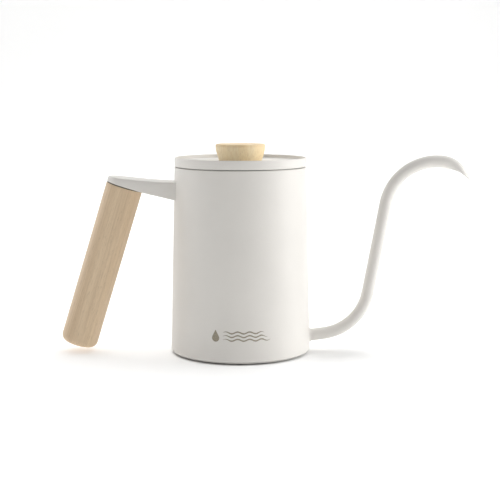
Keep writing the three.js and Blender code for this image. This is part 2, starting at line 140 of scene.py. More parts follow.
# Lid
CAP_WALL = 0.8
CAP_FLOOR = LINER_HIGH.z + GAP
LINER_WALL = 0.6
SEAL_INNER_RADIUS = 37.1
VENT_RADIUS = 1.5
VENT_X = 26.0
KNOB_FOOT_RADIUS = 13.3
KNOB_EDGE_RADIUS = 1.0
KNOB_EDGE_SHADE = 1.8  # depth under the top where painted shade along the top edge starts to darken the wood
KNOB_EDGE_SHADE_FADE = 0.6
KNOB_RECESS_RADIUS = 8.3
KNOB_RECESS_DEPTH = 0.9
KNOB_HOLE_RADIUS = 3.8
KNOB_HOLE_DEPTH = 7.4
SCREW_RADIUS = 2.0
SCREW_HOLE = 2.4
SCREW_HEAD_HEIGHT = 2.5
SOCKET_RADIUS = 1.45
SOCKET_DEPTH = 1.5


def shell_radius(z):
    """Outside radius of the shell's straight wall at a height."""
    low = SHELL_LOW.z + EDGE_RADIUS
    share = (z - low) / (SHELL_HIGH.z - low)
    return SHELL_HIGH.x + share * (SHELL_RADIUS_TOP - SHELL_HIGH.x)


def grip_length():
    """Length whose rounded lower end reaches as low as the CAD grip's box."""
    rounded_reach = GRIP_RADIUS - GRIP_END_RADIUS
    drop = GRIP_TOP.z - GRIP_LOW.z - GRIP_END_RADIUS - rounded_reach * math.sin(GRIP_TILT)
    return drop / math.cos(GRIP_TILT) + GRIP_END_RADIUS


# ------------------------------------------------------------------ materials


class Paintbox:
    """A new material with short ways to add and join its nodes.

    The keywords fill the shader's sockets, with _ in place of a space.
    """

    def __init__(self, name, **sockets):
        self.material = bpy.data.materials.new(name)
        self.material.use_nodes = True
        self.tree = self.material.node_tree
        self.shader = self.tree.nodes["Principled BSDF"]
        for socket, value in sockets.items():
            self.shader.inputs[socket.replace("_", " ")].default_value = value

    def add(self, kind, settings=None, **sockets):
        """A node with its settings and sockets filled; a socket given as an output is linked."""
        node = self.tree.nodes.new(kind)
        for key, value in (settings or {}).items():
            setattr(node, key, value)
        for key, value in sockets.items():
            socket = node.inputs[int(key[1:])] if key[0] == "_" else node.inputs[key]
            if isinstance(value, bpy.types.NodeSocket):
                self.tree.links.new(value, socket)
            else:
                socket.default_value = value
        return node

    def link(self, output, socket):
        """Joins an output to one of the shader's sockets."""
        self.tree.links.new(output, self.shader.inputs[socket])

    def place(self, scale=(1, 1, 1), location=(0, 0, 0)):
        """Object coordinates, in metres, stretched by a scale along each axis."""
        coordinates = self.add("ShaderNodeTexCoord").outputs["Object"]
        return self.add("ShaderNodeMapping", Vector=coordinates, Scale=scale, Location=location).outputs[0]

    def noise(self, vector, scale, detail=2.0, roughness=0.5):
        """Fractal noise, mostly between 0.3 and 0.7."""
        return self.add(
            "ShaderNodeTexNoise", Vector=vector, Scale=scale, Detail=detail, Roughness=roughness
        ).outputs["Fac"]

    def between(self, value, low, high, start=0.0, end=1.0):
        """Maps a value from start..end to low..high."""
        node = self.add("ShaderNodeMapRange", Value=value)
        for name, number in (("From Min", start), ("From Max", end), ("To Min", low), ("To Max", high)):
            node.inputs[name].default_value = number
        return node.outputs[0]

    def mix(self, factor, a, b):
        """Colour a where the factor is 0 and colour b where it is 1."""
        return self.add("ShaderNodeMix", {"data_type": "RGBA"}, _0=factor, _6=a, _7=b).outputs[2]

    def length(self, vector):
        """The length of a vector."""
        return self.add("ShaderNodeVectorMath", {"operation": "LENGTH"}, _0=vector).outputs["Value"]

    def product(self, a, b):
        """One value times another."""
        return self.add("ShaderNodeMath", {"operation": "MULTIPLY"}, _0=a, _1=b).outputs[0]

    def bump(self, height, distance, strength, under=None):
        """A normal that shows a height, on top of another bump if one is given."""
        sockets = {"Height": height, "Distance": distance, "Strength": strength}
        if under is not None:
            sockets["Normal"] = under
        return self.add("ShaderNodeBump", **sockets).outputs[0]


def shaded(colour, factor):
    """A colour made lighter or darker by a factor."""
    return tuple(min(1, c * factor) for c in colour[:3]) + (1,)


def paint_material(name, shade):
    """Satin warm white powder coat: soft orange peel, a finer grit, and barely uneven colour."""
    box = Paintbox(name, IOR=1.45, Specular_IOR_Level=0.42, Coat_Weight=0.06, Coat_Roughness=0.28)
    place = box.place()
    cloud = box.noise(place, 38, detail=3)
    peel = box.noise(place, 620, detail=2)
    grit = box.noise(place, 2600, detail=1)
    tint = box.mix(box.between(cloud, 0, 1, 0.3, 0.7), shaded(shade, 0.98), shaded(shade, 1.02))
    box.link(tint, "Base Color")
    box.link(box.between(peel, 0.40, 0.52, 0.3, 0.7), "Roughness")
    coarse = box.bump(peel, 0.00006, 0.35)
    box.link(box.bump(grit, 0.00002, 0.3, under=coarse), "Normal")
    return box.material


def beech_material(name, light, middle, dark, end_grain_and_shade):
    """Steamed beech with the grain along local Z: broad bands, fine streaks, pores and faint ray flecks.

    The wood darkens in patches from the first to the second local height of end_grain_and_shade: painted
    shade, partly also darker end grain.
    """
    box = Paintbox(name, Specular_IOR_Level=0.45)
    bands = box.noise(box.place((1, 1, 0.03)), 110, detail=3, roughness=0.55)
    streaks = box.noise(box.place((1, 1, 0.016)), 1000, detail=4, roughness=0.62)
    pores = box.noise(box.place((1, 1, 0.08)), 2300, detail=2, roughness=0.6)
    flecks = box.noise(box.place((1, 1, 0.22), (0.3, 0.1, 0)), 1500, detail=1)
    deep = shaded(dark, 0.72)
    colour = box.mix(box.between(bands, 0, 1, 0.32, 0.68), light, middle)
    colour = box.mix(box.between(streaks, 0, 0.55, 0.42, 0.75), colour, dark)
    colour = box.mix(box.between(pores, 0, 0.28, 0.52, 0.75), colour, deep)
    colour = box.mix(box.between(flecks, 0, 0.22, 0.60, 0.72), colour, deep)
    # Painted shade near one end of the wood, in patches, partly also darker end grain.
    height = box.add("ShaderNodeSeparateXYZ", Vector=box.place()).outputs[2]
    near_end = box.between(height, 0, 1, *(h * MM for h in end_grain_and_shade))
    patches = box.between(box.noise(box.place((1, 1, 0.2)), 130, detail=2), 0.3, 0.8, 0.35, 0.65)
    colour = box.mix(box.product(near_end, patches), colour, dark)
    box.link(colour, "Base Color")
    box.link(box.between(streaks, 0.46, 0.62, 0.3, 0.8), "Roughness")
    grain = box.bump(streaks, 0.00006, 0.45)
    box.link(box.bump(pores, 0.00004, 0.35, under=grain), "Normal")
    return box.material


def turned_steel_material(name, shade, roughness):
    """Stainless steel with fine circular lines round Z, as left by spinning and brushing."""
    box = Paintbox(name, Metallic=1.0, Anisotropic=0.35)
    coordinates = box.place()
    split = box.add("ShaderNodeSeparateXYZ", Vector=coordinates)
    flat = box.add("ShaderNodeCombineXYZ", X=split.outputs[0], Y=split.outputs[1])
    section = box.add("ShaderNodeCombineXYZ", X=box.length(flat.outputs[0]), Z=split.outputs[2]).outputs[0]
    lines = box.noise(section, 5200, detail=3, roughness=0.7)
    smudge = box.noise(coordinates, 45, detail=3)
    box.link(box.mix(box.between(smudge, 0, 1, 0.3, 0.7), shade, shaded(shade, 0.86)), "Base Color")
    box.link(box.between(lines, roughness - 0.07, roughness + 0.1, 0.3, 0.7), "Roughness")
    box.link(box.bump(lines, 0.00002, 0.35), "Normal")
    return box.material


def plain_metal_material(name, shade, roughness):
    """Machined metal: small tool marks and uneven polish."""
    box = Paintbox(name, Metallic=1.0)
    place = box.place()
    marks = box.noise(place, 1500, detail=3)
    stain = box.noise(place, 160, detail=2)
    box.link(box.mix(box.between(stain, 0, 1, 0.35, 0.7), shade, shaded(shade, 0.78)), "Base Color")
    box.link(box.between(marks, roughness - 0.08, roughness + 0.12, 0.3, 0.7), "Roughness")
    box.link(box.bump(marks, 0.00002, 0.3), "Normal")
    return box.material


def rubber_material(name, shade, roughness, translucency=0.0):
    """Moulded silicone or rubber: a very fine matt texture."""
    box = Paintbox(name, Subsurface_Weight=translucency, Subsurface_Scale=0.002)
    place = box.place()
    fine = box.noise(place, 2400, detail=2)
    cloud = box.noise(place, 120, detail=2)
    box.link(box.mix(box.between(cloud, 0, 1, 0.35, 0.65), shade, shaded(shade, 0.88)), "Base Color")
    box.link(box.between(fine, roughness - 0.06, roughness + 0.06, 0.3, 0.7), "Roughness")
    box.link(box.bump(fine, 0.00003, 0.3), "Normal")
    return box.material


def ink_material(name, shade):
    """Pad-printed ink, a little thin in places."""
    box = Paintbox(name)
    thin = box.noise(box.place(), 1400, detail=2)
    box.link(box.mix(box.between(thin, 0, 1, 0.45, 0.75), shade, shaded(shade, 1.35)), "Base Color")
    box.link(box.between(thin, 0.5, 0.62, 0.3, 0.7), "Roughness")
    return box.material


PAINT = paint_material("paint_warm_white", (0.79, 0.765, 0.725, 1))
GRIP_WOOD = beech_material(
    "beech_grip",
    (0.81, 0.635, 0.44, 1),
    (0.70, 0.53, 0.355, 1),
    (0.56, 0.40, 0.25, 1),
    # Painted shade on the grip's downward-facing lower end, which is also darker end grain.
    end_grain_and_shade=(GRIP_END_SHADE - grip_length(), GRIP_END_SHADE - GRIP_END_SHADE_FADE - grip_length()),
)
# Painted light: the knob's beech is a lighter, yellower copy of the grip's, standing in for the stronger
# light that falls on the knob.
KNOB_WOOD_LIT = beech_material(
    "beech_knob_lit",
    (1.00, 0.86, 0.60, 1),
    (1.00, 0.81, 0.50, 1),
    (0.82, 0.60, 0.34, 1),
    # Painted shade along the knob's top edge, reaching onto the end grain of its top face.
    end_grain_and_shade=(KNOB_HIGH.z - KNOB_EDGE_SHADE, KNOB_HIGH.z - KNOB_EDGE_SHADE + KNOB_EDGE_SHADE_FADE),
)
STEEL = turned_steel_material("stainless_turned", (0.62, 0.61, 0.59, 1), 0.30)
FASTENER = plain_metal_material("fastener_steel", (0.56, 0.56, 0.55, 1), 0.28)
BRASS = plain_metal_material("brass", (0.66, 0.47, 0.20, 1), 0.30)
SILICONE = rubber_material("silicone", (0.74, 0.73, 0.70, 1), 0.45, translucency=0.35)
DARK_RUBBER = rubber_material("dark_rubber", (0.16, 0.135, 0.11, 1), 0.62)
INK = ink_material("printed_ink", (0.30, 0.265, 0.20, 1))

# ------------------------------------------------------------------ mesh helpers


def make_object(name, vertices, faces, materials, matrix=None):
    """A closed, smooth-shaded mesh object from points in millimetres."""
    mesh = bpy.data.meshes.new(name)
    mesh.from_pydata([tuple(c * MM for c in v) for v in vertices], [], faces)
    work = bmesh.new()
    work.from_mesh(mesh)
    bmesh.ops.recalc_face_normals(work, faces=work.faces)
    work.to_mesh(mesh)
    work.free()
    for material in materials:
        mesh.materials.append(material)
    made = bpy.data.objects.new(name, mesh)
    bpy.context.scene.collection.objects.link(made)
    if matrix is not None:
        made.matrix_world = matrix
    smooth(made)
    return made


def smooth(piece):
    """Smooth shading with sharp edges kept."""
    piece.data.shade_smooth()
    piece.data.set_sharp_from_angle(angle=SHARP_ANGLE)


def set_up(piece, body, slot, *nodes):
    """The piece rides on a body and stands for its CAD nodes; the slot is not used."""
    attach(piece, body)
    if nodes:
        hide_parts(*nodes)


def cut(piece, cutter):
    """Cuts one closed object out of another and removes the cutter."""
    modifier = piece.modifiers.new("cut", "BOOLEAN")
    modifier.operation = "DIFFERENCE"
    modifier.solver = "EXACT"
    modifier.object = cutter
    bpy.context.view_layer.update()
    evaluated = piece.evaluated_get(bpy.context.evaluated_depsgraph_get())
    result = bpy.data.meshes.new_from_object(evaluated)
    piece.modifiers.clear()
    piece.data = result
    bpy.data.objects.remove(cutter)
    smooth(piece)


def rounded(corners, closed=True, chords=6, longest=5.0):
    """Points along an outline of (radius, height, fillet) corners, long runs split evenly."""
    points = []
    count = len(corners)
    for i, (r, z, fillet) in enumerate(corners):
        here = Vector((r, z))
        at_end = not closed and i in (0, count - 1)
        if fillet == 0 or at_end:
            points.append(here)
        else:
            before = Vector(corners[i - 1][:2])
            after = Vector(corners[(i + 1) % count][:2])
            points += fillet_arc(here, before, after, fillet, chords)
    return split_long(points, closed, longest)


def fillet_arc(here, before, after, radius, chords):
    """The arc that rounds the corner at here between its two neighbours."""
    to_before = (before - here).normalized()
    to_after = (after - here).normalized()
    half = to_before.angle(to_after) / 2
    centre = here + (to_before + to_after).normalized() * radius / math.sin(half)
    reach = radius / math.tan(half)
    start = here + to_before * reach - centre
    turn = start.angle_signed(here + to_after * reach - centre)
    return [
        centre + Matrix.Rotation(-turn * k / chords, 2) @ start
        for k in range(chords + 1)
    ]


def split_long(points, closed, longest):
    """The same outline with runs longer than a length divided into equal parts."""
    result = []
    runs = zip(points, points[1:] + points[:1])
    for i, (a, b) in enumerate(runs):
        last = i == len(points) - 1
        parts = 1 if last and not closed else max(1, math.ceil((b - a).length / longest))
        result += [a.lerp(b, k / parts) for k in range(parts)]
    return result


def turned(name, outline, materials, sides=ROUND_SIDES, closed=True, matrix=None):
    """A piece of revolution about Z. An open outline starts and ends on the axis."""
    vertices = []
    rows = []
    for r, z in outline:
        if r < 1e-6:
            rows.append([len(vertices)] * sides)
            vertices.append((0, 0, z))
        else:
            rows.append(list(range(len(vertices), len(vertices) + sides)))
            for j in range(sides):
                angle = 2 * math.pi * j / sides
                vertices.append((r * math.cos(angle), r * math.sin(angle), z))
    faces = []
    following = rows[1:] + rows[:1] if closed else rows[1:]
    for low, high in zip(rows, following):
        faces += ring_faces(low, high)
    return make_object(name, vertices, faces, materials, matrix)


def ring_faces(low, high):
    """The faces between two closed loops of vertex numbers; a loop may be a single repeated vertex."""
    faces = []
    count = len(low)
    for j in range(count):
        k = (j + 1) % count
        face = list(dict.fromkeys((low[j], low[k], high[k], high[j])))
        if len(face) > 2:
            faces.append(face)
    return faces


def joined_loops(name, loops, materials):
    """A closed surface through loops of points, each joined to the next and the last to the first."""
    vertices = [point for loop in loops for point in loop]
    sides = len(loops[0])
    numbers = [list(range(i * sides, (i + 1) * sides)) for i in range(len(loops))]
    faces = []
    for low, high in zip(numbers, numbers[1:] + numbers[:1]):
        faces += ring_faces(low, high)
    return make_object(name, vertices, faces, materials)


def bar(name, radius, bottom, top, sides=SMALL_SIDES, matrix=None):
    """A plain round bar about Z, used to cut holes."""
    outline = [(0, bottom), (radius, bottom), (radius, top), (0, top)]
    return turned(name, outline, [], sides, closed=False, matrix=matrix)


# ------------------------------------------------------------------ pot


def spout_root_matrix():
    """Local Z along the spout's root, from the point where it leaves the shell."""
    place = Vector((shell_radius(SPOUT_ROOT_HEIGHT), 0, SPOUT_ROOT_HEIGHT)) * MM
    return Matrix.Translation(place) @ Matrix.Rotation(math.pi / 2 - ROOT_SLOPE, 4, "Y")


def body_shell():
    """The pot wall: turned in at the foot, hemmed at the rim, painted outside and bare inside."""
    foot = SHELL_LOW.z
    rim = SHELL_HIGH.z
    hem_inner = SHELL_RADIUS_TOP - 2 * SHELL_WALL
    hem_bottom = rim - HEM_DEPTH
    under_hem = hem_bottom - SHELL_WALL
    corners = [
        (FLANGE_RADIUS, foot, 0.25),
        (shell_radius(foot), foot, EDGE_RADIUS),
        (SHELL_RADIUS_TOP, rim, SHELL_WALL * 0.98),
        (hem_inner, rim, SHELL_WALL * 0.98),
        (hem_inner, hem_bottom, 0.3),
        (shell_radius(under_hem) - SHELL_WALL, under_hem, 0.3),
        (shell_radius(foot) - SHELL_WALL, foot + SHELL_WALL, EDGE_RADIUS - SHELL_WALL),
        (FLANGE_RADIUS, foot + SHELL_WALL, 0.25),
    ]
    shell = turned("pot_shell", rounded(corners, longest=3.0), [PAINT, STEEL])
    cut(shell, bar("hole", SPOUT_RADIUS + SPOUT_PLAY, -8, 8, matrix=spout_root_matrix()))
    for face in shell.data.polygons:
        centre = face.center / MM
        inside = math.hypot(centre.x, centre.y) < shell_radius(centre.z) - 0.4 * SHELL_WALL
        bare = inside and foot + 0.6 * SHELL_WALL < centre.z < hem_bottom
        face.material_index = int(bare)
    set_up(shell, "kettle", "paint", "body_shell")


def base_disc():
    """The pressed bottom plate."""
    rim_bottom = BASE_HIGH.z - BASE_THICKNESS
    pan_inner = BASE_PAN_RADIUS - BASE_THICKNESS
    corners = [
        (0, 0, 0),
        (BASE_PAN_RADIUS, 0, 0.9),
        (BASE_PAN_RADIUS, rim_bottom, 0.3),
        (BASE_HIGH.x, rim_bottom, 0.2),
        (BASE_HIGH.x, BASE_HIGH.z, 0.2),
        (pan_inner, BASE_HIGH.z, 0.6),
        (pan_inner, BASE_THICKNESS, 0.6),
        (0, BASE_THICKNESS, 0),
    ]
    disc = turned("pot_base", rounded(corners, closed=False), [STEEL], closed=False)
    set_up(disc, "kettle", "stainless", "base_disc")


# ------------------------------------------------------------------ spout

SPOUT_RUNS = (  # length and curvature of each run of the centreline, root to tip
    (SPOUT_ROOT_INSET + ROOT_LENGTH, 0),
    (BEND_RADIUS * (RISER_SLOPE - ROOT_SLOPE), 1 / BEND_RADIUS),
    (RISER_LENGTH, 0),
    (CROOK_RADIUS * (RISER_SLOPE - BEAK_START_SLOPE), -1 / CROOK_RADIUS),
    (BEAK_RADIUS * (BEAK_START_SLOPE - BEAK_END_SLOPE), -1 / BEAK_RADIUS),
    (TIP_LENGTH, 0),
)
SPOUT_LENGTH = sum(length for length, _ in SPOUT_RUNS)


def spout_at(distance):
    """X, Z and slope of the spout's centreline at a distance from its inner end."""
    x = shell_radius(SPOUT_ROOT_HEIGHT) - SPOUT_ROOT_INSET * math.cos(ROOT_SLOPE)
    z = SPOUT_ROOT_HEIGHT - SPOUT_ROOT_INSET * math.sin(ROOT_SLOPE)
    slope = ROOT_SLOPE
    for length, curvature in SPOUT_RUNS:
        step = min(distance, length)
        if curvature == 0:
            x += step * math.cos(slope)
            z += step * math.sin(slope)
        else:
            end = slope + curvature * step
            x += (math.sin(end) - math.sin(slope)) / curvature
            z += (math.cos(slope) - math.cos(end)) / curvature
            slope = end
        distance -= step
    return x, z, slope


def spout_point(distance, angle, radius):
    """A point on the tube's surface; angle 0 is the side away from the crook's centre."""
    x, z, slope = spout_at(distance)
    up = radius * math.cos(angle)
    return Vector((x - up * math.sin(slope), radius * math.sin(angle), z + up * math.cos(slope)))


def mouth_centre():
    """Centre, in X and Z, of the arc that cuts the mouth."""
    chord = MOUTH_TIP - MOUTH_HEEL
    depth = math.sqrt(MOUTH_CUT_RADIUS ** 2 - (chord.length / 2) ** 2)
    down = Vector((chord.y, -chord.x)).normalized()
    return (MOUTH_HEEL + MOUTH_TIP) / 2 + down * depth


MOUTH_CENTRE = mouth_centre()
BEAK_FROM = sum(length for length, _ in SPOUT_RUNS[:4]) - 3.0  # distance where the beak's rows start


def mouth_distance(angle, radius):
    """How far along the spout the line at this angle runs before the mouth cuts it off."""
    near, far = BEAK_FROM, SPOUT_LENGTH
    halvings = 40
    for _ in range(halvings):
        middle = (near + far) / 2
        point = spout_point(middle, angle, radius)
        outside = (Vector((point.x, point.z)) - MOUTH_CENTRE).length > MOUTH_CUT_RADIUS
        near, far = (middle, far) if outside else (near, middle)
    return near


def spout_tube():
    """The gooseneck, hollow from the pot to its beak-cut mouth."""
    sides = 64
    tube_rows = 110
    beak_rows = 22
    angles = [2 * math.pi * j / sides for j in range(sides)]
    steps = [BEAK_FROM * i / tube_rows for i in range(tube_rows)]
    surfaces = []
    for radius in (SPOUT_RADIUS, SPOUT_RADIUS - SPOUT_WALL):
        ends = [mouth_distance(a, radius) for a in angles]
        rows = [[spout_point(s, a, radius) for a in angles] for s in steps]
        for k in range(beak_rows + 1):
            share = k / beak_rows
            rows.append([
                spout_point(BEAK_FROM + (end - BEAK_FROM) * share, a, radius)
                for a, end in zip(angles, ends)
            ])
        surfaces.append(rows)
    outer, inner = surfaces
    lip = [mouth_lip(a, b) for a, b in zip(outer[-1], inner[-1])]
    tube = joined_loops("gooseneck_spout", outer + [lip] + inner[::-1], [PAINT])
    set_up(tube, "kettle", "paint", "spout_tube")


def mouth_lip(outer, inner):
    """The rounded middle of the mouth's edge."""
    middle = (outer + inner) / 2
    towards = Vector((MOUTH_CENTRE.x - middle.x, 0, MOUTH_CENTRE.y - middle.z)).normalized()
    return middle + towards * LIP_RISE


def spout_collar():
    """The weld that fillets the spout into the shell."""
    rows = 8
    angles = [2 * math.pi * j / SMALL_SIDES for j in range(SMALL_SIDES)]
    root = spout_root_matrix()
    tube = SPOUT_RADIUS - 0.03
    loops = []
    for k in range(rows + 1):
        far = k / rows
        near = 1 - far
        radius = near ** 2 * COLLAR_RADIUS + 2 * far * near * COLLAR_MIDDLE_RADIUS + far ** 2 * tube
        rise = far ** 2 * COLLAR_LENGTH + COLLAR_BELLY * far * near
        loops.append([collar_point(root, angle, radius, rise) for angle in angles])
    loops.append([collar_point(root, angle, tube, 0) for angle in angles])
    collar = joined_loops("spout_weld", loops, [PAINT])
    set_up(collar, "kettle", "paint", "spout_collar")


def collar_point(root, angle, radius, rise):
    """A point at a radius from the root's axis, a rise above the shell along that axis."""
    embed = 0.05
    along = 0.0
    refinements = 12
    for _ in range(refinements):
        local = Vector((radius * math.cos(angle), radius * math.sin(angle), along))
        point = root @ (local * MM) / MM
        along -= math.hypot(point.x, point.y) - (shell_radius(point.z) - embed)
    local.z = along + rise
    return root @ (local * MM) / MM


# ------------------------------------------------------------------ handle


def grip_matrix():
    """Local Z up the grip's axis, from the centre of its upper face."""
    return Matrix.Translation(GRIP_TOP * MM) @ Matrix.Rotation(GRIP_TILT, 4, "Y")


def to_grip_frame(x, z):
    """X and Z in the row frame as distances across and along the grip's axis."""
    dx = x - GRIP_TOP.x
    dz = z - GRIP_TOP.z
    across = dx * math.cos(GRIP_TILT) - dz * math.sin(GRIP_TILT)
    along = dx * math.sin(GRIP_TILT) + dz * math.cos(GRIP_TILT)
    return across, along


def arm_curves():
    """Heights of the arm's top and underside along the grip's axis, against the distance across."""
    shell_x = -(shell_radius(ARM_BOTTOM_AT_SHELL) - SHELL_WALL)
    inside_x = shell_x + 8
    start = Vector((shell_x, ARM_TOP_AT_SHELL))
    control = Vector((shell_x - ARM_TOP_LEVEL_RUN, ARM_TOP_AT_SHELL + 0.2))
    end = Vector((GRIP_TOP.x - ARM_OVERRUN, ARM_TOP_AT_END))
    steps = 40
    top = [to_grip_frame(inside_x, ARM_TOP_AT_SHELL)]
    for k in range(steps + 1):
        t = k / steps
        point = (1 - t) ** 2 * start + 2 * t * (1 - t) * control + t * t * end
        top.append(to_grip_frame(point.x, point.y))
    under = [
        to_grip_frame(inside_x, ARM_BOTTOM_AT_SHELL),
        to_grip_frame(shell_x, ARM_BOTTOM_AT_SHELL),
        (GRIP_RADIUS, ARM_LIFT),
        (-ARM_OVERRUN, ARM_LIFT),
    ]
    top_across, top_along = zip(*sorted(top))
    under_across, under_along = zip(*sorted(under))
    return (
        lambda across: float(np.interp(across, top_across, top_along)),
        lambda across: float(np.interp(across, under_across, under_along)),
    )


def arm_rings():
    """Insets and offsets of the loops up the arm's side: rounded under edge, wall, rounded top edge."""
    steps = 6
    turns = [math.pi / 2 * k / steps for k in range(steps + 1)]
    under = [(ARM_UNDER_EDGE * (1 - math.sin(t)), "under", ARM_UNDER_EDGE * (1 - math.cos(t))) for t in turns]
    top = [(ARM_TOP_EDGE * (1 - math.cos(t)), "top", -ARM_TOP_EDGE * (1 - math.sin(t))) for t in turns]
    return under + top


def arm_side(inset, height_at):
    """One loop's points on the +Y side in the grip's frame, from the tip to just inside the pot."""
    radius = GRIP_RADIUS - inset
    points = []
    tip_steps = 24
    for k in range(tip_steps):
        angle = math.pi / 2 * k / tip_steps
        across = -radius * math.cos(angle)
        points.append((across, radius * math.sin(angle), height_at(across)))
    end = 30.0  # a first guess, moved to the shell's inner face below
    refinements = 8
    for _ in range(refinements):
        x = GRIP_TOP.x + end * math.cos(GRIP_TILT) + height_at(end) * math.sin(GRIP_TILT)
        z = GRIP_TOP.z - end * math.sin(GRIP_TILT) + height_at(end) * math.cos(GRIP_TILT)
        wanted = -math.sqrt((shell_radius(z) - SHELL_WALL) ** 2 - radius ** 2)
        end += (wanted - x) / math.cos(GRIP_TILT)
    straight_steps = 30
    for k in range(straight_steps + 1):
        across = end * k / straight_steps
        points.append((across, radius, height_at(across)))
    return points


def handle_arm():
    """The painted wedge that joins the grip to the shell."""
    top_at, under_at = arm_curves()
    vertices = []
    loops = []
    for inset, surface, offset in arm_rings():
        base = top_at if surface == "top" else under_at
        side = arm_side(inset, lambda across: base(across) + offset)
        loop = [(a, -y, h) for a, y, h in reversed(side[1:])] + side
        loops.append(list(range(len(vertices), len(vertices) + len(loop))))
        vertices += loop
    faces = []
    for low, high in zip(loops, loops[1:]):
        for j in range(len(low) - 1):
            faces.append((low[j], low[j + 1], high[j + 1], high[j]))
    for loop in (loops[0], loops[-1]):
        faces += across_faces(loop)
    faces.append([loop[0] for loop in loops] + [loop[-1] for loop in reversed(loops)])
    arm = make_object("handle_arm_cast", vertices, faces, [PAINT], grip_matrix())
    cut(arm, pot_space())
    set_up(arm, "kettle", "paint", "handle_arm")


def pot_space():
    """The space inside the middle of the shell's wall, from below the arm to above it, for cutting."""
    low = ARM_BOTTOM_AT_SHELL - 10
    high = ARM_TOP_AT_END
    side = [(shell_radius(z) - 0.5 * SHELL_WALL, z) for z in (low, high)]
    return turned("pot_space", [(0, low), *side, (0, high)], [], closed=False)


def across_faces(loop):
    """Closes a mirror-symmetric loop with strips from one side to the other."""
    faces = []
    count = len(loop)
    for j in range(count // 2):
        face = (loop[j], loop[j + 1], loop[count - 2 - j], loop[count - 1 - j])
        faces.append(list(dict.fromkeys(face)))
    return faces


def handle_grip():
    """The turned beech grip, with the hole that takes its insert and stud."""
    length = grip_length()
    corners = [
        (0, -length, 0),
        (GRIP_RADIUS, -length, GRIP_END_RADIUS),
        (GRIP_RADIUS, WOOD_RISE, 0.3),
        (INSERT_HOLE_RADIUS, WOOD_RISE, 0.2),
        (INSERT_HOLE_RADIUS, -INSERT_HOLE_DEPTH, 0),
        (STUD_HOLE_RADIUS, -INSERT_HOLE_DEPTH, 0),
        (STUD_HOLE_RADIUS, -STUD_HOLE_DEPTH, 0),
        (0, -STUD_HOLE_DEPTH, 0),
    ]
    outline = rounded(corners, closed=False, chords=12)
    grip = turned("grip_wood", outline, [GRIP_WOOD], closed=False, matrix=grip_matrix())
    set_up(grip, "kettle", "beech", "handle_grip")


def grip_gasket():
    """A dark washer, set back a little, between the wood and the arm."""
    inner = STUD_HOLE_RADIUS
    outer = GRIP_RADIUS - GASKET_SETBACK
    low = WOOD_RISE + GASKET_CLEARANCE
    high = ARM_LIFT - GASKET_CLEARANCE
    corners = [(inner, low, 0), (outer, low, 0.1), (outer, high, 0.1), (inner, high, 0)]
    gasket = turned("grip_washer", rounded(corners), [DARK_RUBBER], matrix=grip_matrix())
    set_up(gasket, "kettle", "dark_rubber", "grip_gasket")


# ------------------------------------------------------------------ lid


def vent_bar():
    """A bar where the steam vent goes through the lid, for cutting."""
    place = Matrix.Translation(Vector((VENT_X, 0, CAP_FLOOR)) * MM)
    return bar("vent", VENT_RADIUS, -4, 4, 48, place)


def lid_cap():
    """The painted cap: recessed floor inside a thin upright band."""
    inner = CAP_HIGH.x - CAP_WALL
    floor_top = CAP_FLOOR + CAP_WALL
    corners = [
        (SCREW_HOLE, CAP_FLOOR, 0),
        (inner, CAP_FLOOR, 0.2),
        (inner, CAP_LOW.z, 0.25),
        (CAP_HIGH.x, CAP_LOW.z, 0.3),
        (CAP_HIGH.x, CAP_HIGH.z, 0.39),
        (inner, CAP_HIGH.z, 0.39),
        (inner, floor_top, 0.7),
        (SCREW_HOLE, floor_top, 0),
    ]
    cap = turned("lid_cap_pressed", rounded(corners), [PAINT])
    cut(cap, vent_bar())
    set_up(cap, "lid", "paint", "lid_cap")


def lid_liner():
    """The stainless pan under the cap, with the seal's groove round it."""
    outer = LINER_HIGH.x
    inner = outer - LINER_WALL
    groove = SEAL_INNER_RADIUS - GAP
    groove_inner = groove - LINER_WALL
    groove_bottom = SEAL_LOW.z - GAP
    groove_top = SEAL_HIGH.z + GAP
    top = LINER_HIGH.z
    corners = [
        (SCREW_HOLE, top - LINER_WALL, 0),
        (inner, top - LINER_WALL, 0.5),
        (inner, groove_top + LINER_WALL, 0.2),
        (groove_inner, groove_top + LINER_WALL, 0.2),
        (groove_inner, groove_bottom - LINER_WALL, 0.2),
        (inner, groove_bottom - LINER_WALL, 0.2),
        (inner, LINER_LOW.z, 0.2),
        (outer, LINER_LOW.z, 0.2),
        (outer, groove_bottom, 0.2),
        (groove, groove_bottom, 0.2),
        (groove, groove_top, 0.2),
        (outer, groove_top, 0.2),
        (outer, top, 1.0),
        (SCREW_HOLE, top, 0),
    ]
    liner = turned("lid_liner_pan", rounded(corners), [STEEL])
    cut(liner, vent_bar())
    set_up(liner, "lid", "stainless", "lid_liner")


def lid_seal():
    """The silicone ring, with two lips."""
    low = SEAL_LOW.z
    high = SEAL_HIGH.z
    lip = SEAL_HIGH.x
    hollow = lip - 0.5
    quarter = (high - low) / 4
    corners = [
        (SEAL_INNER_RADIUS, low, 0.2),
        (hollow, low, 0.25),
        (lip, low + quarter, 0.25),
        (hollow, low + 2 * quarter, 0.2),
        (lip, low + 3 * quarter, 0.25),
        (hollow, high, 0.25),
        (SEAL_INNER_RADIUS, high, 0.2),
    ]
    seal = turned("seal_ring", rounded(corners), [SILICONE])
    set_up(seal, "lid_seat", "silicone", "lid_seal")


